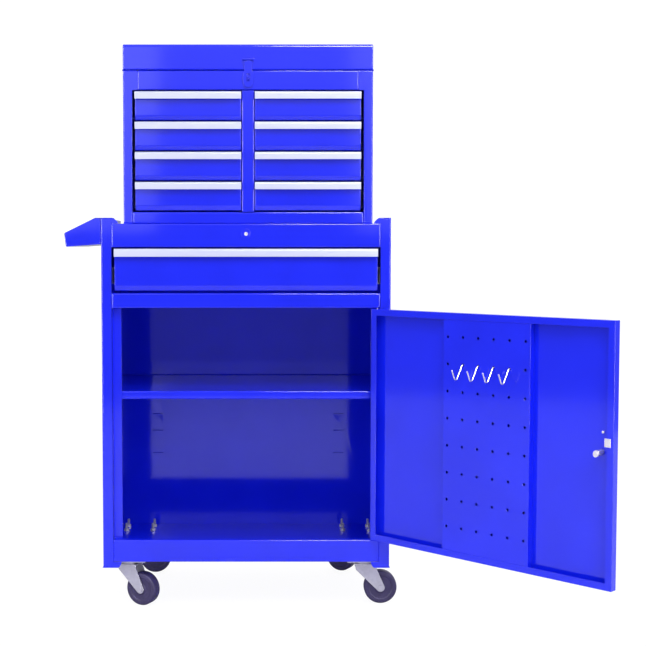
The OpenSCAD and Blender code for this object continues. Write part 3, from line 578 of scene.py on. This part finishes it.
def slab(low, high, edge):
    """A flat bar between two corners with softened edges."""
    bm = bmesh.new()
    size = high - low
    place = Matrix.Translation((low + high) / 2) @ Matrix.Diagonal((*size, 1))
    bmesh.ops.create_cube(bm, size=1, matrix=place)
    bmesh.ops.bevel(bm, geom=list(bm.edges), offset=edge, offset_type="OFFSET", segments=EDGE_STEPS,
                    profile=0.5, affect="EDGES", clamp_overlap=True, material=-1)
    return bm


def placed_on(joint, bm):
    """Turns a bmesh made about Z so that it lies on a joint's axis."""
    turn = Z.rotation_difference(Vector(JOINTS[joint]["axis"])).to_matrix().to_4x4()
    matrix = Matrix.Translation(Vector(JOINTS[joint]["pos_m"])) @ turn
    bmesh.ops.transform(bm, matrix=matrix, verts=bm.verts)
    return bm


def clusters(values, gap):
    """Groups of sorted numbers that lie closer together than a gap."""
    groups = []
    for value in sorted(values):
        if groups and value - groups[-1][-1] < gap:
            groups[-1].append(value)
        else:
            groups.append([value])
    return groups


def merge(target, source, matrix):
    """Adds a placed copy of one bmesh to another."""
    bmesh.ops.transform(source, matrix=matrix, verts=source.verts)
    mesh = bpy.data.meshes.new("passing")
    source.to_mesh(mesh)
    source.free()
    target.from_mesh(mesh)
    bpy.data.meshes.remove(mesh)


def door_turn():
    """The matrix that takes the closed door to where it stands open."""
    pin = Vector(JOINTS["door_hinge"]["pos_m"])
    ahead = Vector(JOINTS["door_lock_turn"]["axis"])
    angle = math.atan2(-ahead.x, ahead.y)
    return Matrix.Translation(pin) @ Matrix.Rotation(angle, 4, "Z") @ Matrix.Translation(-pin)


def box_in(node, matrix):
    """Lowest and highest corner of a CAD node, seen from a turned frame."""
    back = matrix.inverted()
    points = [back @ vert.co for vert in frame["nodes"][node].data.vertices]
    return (Vector(min(p[i] for p in points) for i in range(3)),
            Vector(max(p[i] for p in points) for i in range(3)))


# ---- Pieces ----

class CART_OT_finishes(Operator):
    """Make the paint, metals and wheel material with their shared node groups"""
    bl_idname = "cart.finishes"
    bl_label = "Finishes"

    def execute(self, context):
        skin_group()
        brush_group()
        edge_wear_and_highlight_group()
        for slot, build in FINISHES.items():
            MATERIALS[slot] = build(context.scene.cart_finish)
        return {"FINISHED"}


class CART_OT_cabinet(Operator):
    """Fold the cabinet's sides, back, floor, rails, deck and shelf"""
    bl_idname = "cart.cabinet"
    bl_label = "Cabinet"

    def execute(self, context):
        for node in ("left_side_panel", "right_side_panel", "back_panel", "floor_pan", "top_deck",
                     "mid_rail", "shelf"):
            pressed_piece(context, node)
        return {"FINISHED"}


class CART_OT_side_tray(Operator):
    """Fold the side tray"""
    bl_idname = "cart.side_tray"
    bl_label = "Side tray"

    def execute(self, context):
        pressed_piece(context, "side_tray")
        return {"FINISHED"}


class CART_OT_wide_drawer(Operator):
    """Make the wide drawer, its pull and its slides"""
    bl_idname = "cart.wide_drawer"
    bl_label = "Wide drawer"

    def execute(self, context):
        pressed_piece(context, "wide_drawer", DRAWER_BEND, DRAWER_SHARP)
        for node in ("wide_drawer_pull", "wide_drawer_runners", "drawer_slides"):
            pressed_piece(context, node, 0)
        return {"FINISHED"}


class CART_OT_door(Operator):
    """Make the door pan, the pegboard, the hinge pins and the catch"""
    bl_idname = "cart.door"
    bl_label = "Door"

    def execute(self, context):
        pressed_piece(context, "door_panel", DOOR_BEND)
        for node in ("pegboard", "door_hinge_pins", "door_catch"):
            pressed_piece(context, node, 0)
        return {"FINISHED"}


class CART_OT_peg_hooks(Operator):
    """Bend the round wire hooks on the pegboard"""
    bl_idname = "cart.peg_hooks"
    bl_label = "Peg hooks"

    def execute(self, context):
        form = context.scene.cart_form
        turn = door_turn()
        low, high = box_in("peg_hooks", turn)
        back = turn.inverted()
        across = [(back @ vert.co).x for vert in frame["nodes"]["peg_hooks"].data.vertices]
        path = self.wire_path(form)
        rows = bmesh.new()
        for column in clusters(across, HOOK_SPACING):
            start = Vector(((column[0] + column[-1]) / 2, low.y, high.z - form.wire / 2))
            merge(rows, tube([start + point for point in path], form.wire / 2), turn)
        show(rows, "peg_hooks_bent", "door", "chrome", "peg_hooks")
        return {"FINISHED"}

    def wire_path(self, form):
        """One hook's centre line: its peg, a slanting drop, a bend and a straight end."""
        peg = HOOK_PEG + BOARD_SHEET + form.wire / 2
        corner = Vector((0, peg, 0))
        down = Matrix.Rotation(form.hook_slant, 3, "X") @ Vector((0, 0, -1))
        out = Matrix.Rotation(form.hook_slant, 3, "X") @ Y
        foot = corner + down * form.hook_drop
        points = rounded([Vector((0, 0, 0)), corner, foot], HOOK_CORNER)
        centre = foot + out * form.hook_bend
        for step in range(1, HOOK_ARC_STEPS + 1):
            angle = form.hook_turn * step / HOOK_ARC_STEPS
            points.append(centre + form.hook_bend * (down * math.sin(angle) - out * math.cos(angle)))
        ahead = down * math.cos(form.hook_turn) + out * math.sin(form.hook_turn)
        return points + [points[-1] + ahead * form.hook_tip]


class CART_OT_locks(Operator):
    """Make the two locks"""
    bl_idname = "cart.locks"
    bl_label = "Locks"

    def execute(self, context):
        for place in ("drawer", "door"):
            for part in ("housing", "plug"):
                pressed_piece(context, f"{place}_lock_{part}", 0)
        return {"FINISHED"}


class CART_OT_chest(Operator):
    """Fold the chest's sides, back, floor, till, post and runners"""
    bl_idname = "cart.chest"
    bl_label = "Chest"

    def execute(self, context):
        for node in ("chest_left_side", "chest_right_side", "chest_back", "chest_floor", "chest_till",
                     "chest_divider", "chest_runners"):
            pressed_piece(context, node)
        return {"FINISHED"}


class CART_OT_small_drawers(Operator):
    """Make the eight small drawers and their pulls"""
    bl_idname = "cart.small_drawers"
    bl_label = "Small drawers"

    def execute(self, context):
        for side in SIDES:
            for row in ROWS:
                pressed_piece(context, f"drawer_{side}_{row}", DRAWER_BEND, DRAWER_SHARP)
                pressed_piece(context, f"pull_{side}_{row}", 0)
        return {"FINISHED"}


class CART_OT_lid(Operator):
    """Fold the lid and soften the edges of its hinge leaves"""
    bl_idname = "cart.lid"
    bl_label = "Lid"

    def execute(self, context):
        pressed_piece(context, "lid")
        for node in ("lid_hinge_fixed_leaf", "lid_hinge_moving_leaf"):
            pressed_piece(context, node, 0)
        return {"FINISHED"}


class CART_OT_hasp(Operator):
    """Make the hasp, its mount and its staple"""
    bl_idname = "cart.hasp"
    bl_label = "Hasp"

    def execute(self, context):
        self.mount(context.scene.cart_form)
        pressed_piece(context, "hasp_plate", HASP_BEND)
        pressed_piece(context, "hasp_staple", 0)
        return {"FINISHED"}

    def mount(self, form):
        """A thin leaf with two rolled knuckles on one pin, each tied back to the leaf."""
        low, high = box_in("hasp_mount", Matrix.Identity(4))
        axis = Vector(JOINTS["hasp_hinge"]["pos_m"])
        leaf, strap, pin, gap = 0.3 * MM, 2 * MM, 1.2 * MM, 0.15 * MM
        third = (high.x - low.x) / 3
        mount = bmesh.new()
        still = Matrix.Identity(4)
        merge(mount, slab(Vector((low.x, high.y - leaf, low.z)), high, LEAF_EDGE), still)
        lie = Z.rotation_difference(X).to_matrix().to_4x4()
        for start in (low.x, high.x - third):
            foot = Vector((start + gap, axis.y, axis.z))
            roll = barrel(axis.y - low.y, third - 2 * gap, form.raw_edge)
            merge(mount, roll, Matrix.Translation(foot) @ lie)
            strap_low = foot - Z * strap / 2
            strap_high = foot + Vector((third - 2 * gap, high.y - leaf - axis.y, strap / 2))
            merge(mount, slab(strap_low, strap_high, LEAF_EDGE), still)
        merge(mount, barrel(pin, high.x - low.x, form.raw_edge),
              Matrix.Translation((low.x, axis.y, axis.z)) @ lie)
        show(mount, "hasp_mount_rolled", BODY_OF["hasp_mount"], SLOT_OF["hasp_mount"], "hasp_mount")


class CART_OT_casters(Operator):
    """Make the caster plates, bolts, forks and wheels"""
    bl_idname = "cart.casters"
    bl_label = "Casters"

    def execute(self, context):
        pressed_piece(context, "caster_plates", 0)
        self.bolts(context.scene.cart_form)
        for corner in CORNERS:
            pressed_piece(context, "fork_" + corner, FORK_BEND)
            self.wheel(corner)
        return {"FINISHED"}

    def bolts(self, form):
        """Threaded bolts with a head under each plate and a nut on the floor pan."""
        mesh = frame["nodes"]["caster_bolts"].data
        low = min(vert.co.z for vert in mesh.vertices)
        high = max(vert.co.z for vert in mesh.vertices)
        columns = clusters([vert.co.x for vert in mesh.vertices], BOLT_SPACING)
        lines = clusters([vert.co.y for vert in mesh.vertices], BOLT_SPACING)
        across, head, plate, nut, radius = 10 * MM, 3.6 * MM, 5.5 * MM, 5 * MM, 3 * MM
        bolts = bmesh.new()
        for column in columns:
            for line in lines:
                foot = Vector(((column[0] + column[-1]) / 2, (line[0] + line[-1]) / 2, low))
                place = Matrix.Translation(foot)
                seat = head + plate
                merge(bolts, hexagon(across, head, 0), place)
                merge(bolts, thread(radius, form.thread_pitch, high - low - head),
                      place @ Matrix.Translation((0, 0, head)))
                merge(bolts, hexagon(across, nut, radius), place @ Matrix.Translation((0, 0, seat)))
        show(bolts, "caster_bolts_threaded", "cabinet", "zinc", "caster_bolts")

    def wheel(self, corner):
        """A moulded wheel: rounded tread with a parting line, a dished face and a hub."""
        face = [
            (4.06, 10.6), (4.5, 11), (9.6, 11), (10.4, 10.8), (10.9, 10.2), (11.3, 9.9), (12.2, 9.7),
            (20.8, 9.7), (21.8, 9.9), (22.6, 10.5), (23.3, 10.9), (24.2, 11), (28.6, 11), (29.7, 10.8),
            (30.7, 10.2), (31.4, 9.3), (31.8, 8.2), (31.9, 6.8), (31.9, 0.35), (32, 0.2)]
        outline = [(radius * MM, height * MM) for radius, height in face]
        outline += [(radius, -height) for radius, height in reversed(outline)]
        outline.append(outline[0])
        wheel = placed_on(f"wheel_{corner}_spin", turned(outline, WHEEL_STEPS))
        show(wheel, f"wheel_{corner}_moulded", "wheel_" + corner, "rubber", "wheel_" + corner)


class CART_OT_stage(Operator):
    """Set up the floor, the white surround, the lights and the camera"""
    bl_idname = "cart.stage"
    bl_label = "Stage"

    def execute(self, context):
        studio, scene = context.scene.cart_studio, context.scene
        scene.view_settings.view_transform = "Standard"
        self.floor()
        self.surround(scene, studio)
        self.lights(studio)
        self.camera(scene, studio)
        return {"FINISHED"}

    def floor(self):
        bm = bmesh.new()
        bmesh.ops.create_circle(bm, cap_ends=True, segments=FLOOR_SIDES, radius=FLOOR_RADIUS)
        mesh = bpy.data.meshes.new("studio_floor")
        bm.to_mesh(mesh)
        bm.free()
        floor = bpy.data.objects.new("studio_floor", mesh)
        bpy.context.scene.collection.objects.link(floor)
        material = bpy.data.materials.new("white_floor")
        material.use_nodes = True
        wiring = Wiring(material.node_tree)
        shader = material.node_tree.nodes["Principled BSDF"]
        output = material.node_tree.nodes["Material Output"]
        set_shader(shader, Base_Color=(0.8, 0.8, 0.8, 1), Roughness=0.7, Specular_IOR_Level=0.2)
        white = wiring.add("ShaderNodeEmission")
        white.inputs["Strength"].default_value = FLOOR_GLOW
        path = wiring.add("ShaderNodeLightPath")
        share = wiring.maths("MULTIPLY", path, "Is Camera Ray", FLOOR_WHITE_SHARE)
        choose = wiring.add("ShaderNodeMixShader")
        wiring.tree.links.new(share.outputs[0], choose.inputs[0])
        wiring.tree.links.new(shader.outputs[0], choose.inputs[1])
        wiring.tree.links.new(white.outputs[0], choose.inputs[2])
        wiring.tree.links.new(choose.outputs[0], output.inputs["Surface"])
        mesh.materials.append(material)

    def surround(self, scene, studio):
        world = bpy.data.worlds.new("white_studio")
        scene.world = world
        world.use_nodes = True
        wiring = Wiring(world.node_tree)
        background = world.node_tree.nodes["Background"]
        output = world.node_tree.nodes["World Output"]
        place = wiring.add("ShaderNodeTexCoord")
        split = wiring.add("ShaderNodeSeparateXYZ")
        wiring.join(place, "Generated", split, "Vector")
        ramp = wiring.add("ShaderNodeValToRGB")
        stops = ramp.color_ramp.elements
        stops[0].position, stops[0].color = 0.0, (0.42, 0.42, 0.44, 1)
        stops[1].position, stops[1].color = 0.18, (1.35, 1.35, 1.35, 1)
        for height, glow in ((0.035, 0.5), (0.12, 1.2)):
            stops.new(height).color = (glow, glow, glow, 1)
        wiring.join(split, "Z", ramp, "Fac")
        wiring.join(ramp, "Color", background, "Color")
        background.inputs["Strength"].default_value = studio.surround
        white = wiring.add("ShaderNodeBackground")
        white.inputs["Color"].default_value = (1, 1, 1, 1)
        white.inputs["Strength"].default_value = WALL_GLOW
        path = wiring.add("ShaderNodeLightPath")
        choose = wiring.add("ShaderNodeMixShader")
        wiring.tree.links.new(path.outputs["Is Camera Ray"], choose.inputs[0])
        wiring.tree.links.new(background.outputs[0], choose.inputs[1])
        wiring.tree.links.new(white.outputs[0], choose.inputs[2])
        wiring.tree.links.new(choose.outputs[0], output.inputs["Surface"])

    def lights(self, studio):
        for name, place, aim, width, height, power, diffuse in (
                ("key_box", (0.7, -1.9, 2.6), (0.2, 0, 0.6), 1.3, 0.9, studio.key, True),
                ("top_strip", (0.75, -1.9, 2.4), (0.2, 0, 0.6), 1.4, 1.1, 0.8 * studio.strip, False),
                ("left_strip", (-1.75, -2.45, 0.9), (0, -0.1, 0.6), 1.4, 1.8, studio.strip, False),
                ("left_wing", (-0.8, -2.45, 1.3), (0, -0.1, 1), 0.9, 1.1, 0.034 * studio.strip, False),
                ("right_wing", (0.8, -2.45, 1.3), (0, -0.1, 1), 0.9, 1.1, 0.025 * studio.strip, False),
                ("right_strip", (1.75, -2.45, 0.9), (0, -0.1, 0.6), 1.4, 1.8, studio.strip, False)):
            data = bpy.data.lights.new(name, "AREA")
            data.shape, data.size, data.size_y = "RECTANGLE", width, height
            data.energy = power
            lamp = bpy.data.objects.new(name, data)
            bpy.context.scene.collection.objects.link(lamp)
            lamp.location = place
            lamp.rotation_euler = (Vector(aim) - Vector(place)).to_track_quat("-Z", "Y").to_euler()
            lamp.visible_diffuse = diffuse

    def camera(self, scene, studio):
        data = bpy.data.cameras.new("studio_camera")
        data.lens, data.sensor_width = studio.lens, SENSOR_WIDTH
        data.shift_x, data.shift_y = studio.shift_x, studio.shift_y
        data.clip_end = STUDIO_DEPTH
        camera = bpy.data.objects.new("studio_camera", data)
        scene.collection.objects.link(camera)
        camera.location = (studio.eye_x, studio.eye_y, studio.eye_z)
        camera.rotation_euler = (math.pi / 2 - studio.tilt, 0, 0)
        scene.camera = camera


PIECE_OPERATORS = (
    CART_OT_finishes, CART_OT_cabinet, CART_OT_side_tray, CART_OT_wide_drawer, CART_OT_door,
    CART_OT_peg_hooks, CART_OT_locks, CART_OT_chest, CART_OT_small_drawers, CART_OT_lid,
    CART_OT_hasp, CART_OT_casters, CART_OT_stage,
)
SETTINGS = (("cart_form", CartForm), ("cart_finish", CartFinish), ("cart_studio", CartStudio))


class CART_PT_sidebar(Panel):
    """Lists the cart's pieces and sizes"""
    bl_idname = "CART_PT_sidebar"
    bl_label = "Tool Cart"
    bl_space_type = "VIEW_3D"
    bl_region_type = "UI"
    bl_category = "Tool Cart"

    def draw(self, context):
        layout = self.layout
        for label, settings in SETTINGS:
            box = layout.box()
            for name in settings.__annotations__:
                box.prop(getattr(context.scene, label), name)
        for operator in PIECE_OPERATORS:
            layout.operator(operator.bl_idname)


CLASSES = (*(settings for _, settings in SETTINGS), *PIECE_OPERATORS, CART_PT_sidebar)


def register():
    for cls in CLASSES:
        bpy.utils.register_class(cls)
    for label, settings in SETTINGS:
        setattr(bpy.types.Scene, label, PointerProperty(type=settings))


def unregister():
    for label, _ in SETTINGS:
        delattr(bpy.types.Scene, label)
    for cls in reversed(CLASSES):
        bpy.utils.unregister_class(cls)


def main():
    register()
    for operator in PIECE_OPERATORS:
        group, name = operator.bl_idname.split(".")
        getattr(getattr(bpy.ops, group), name)()


if __name__ == "__main__":
    main()
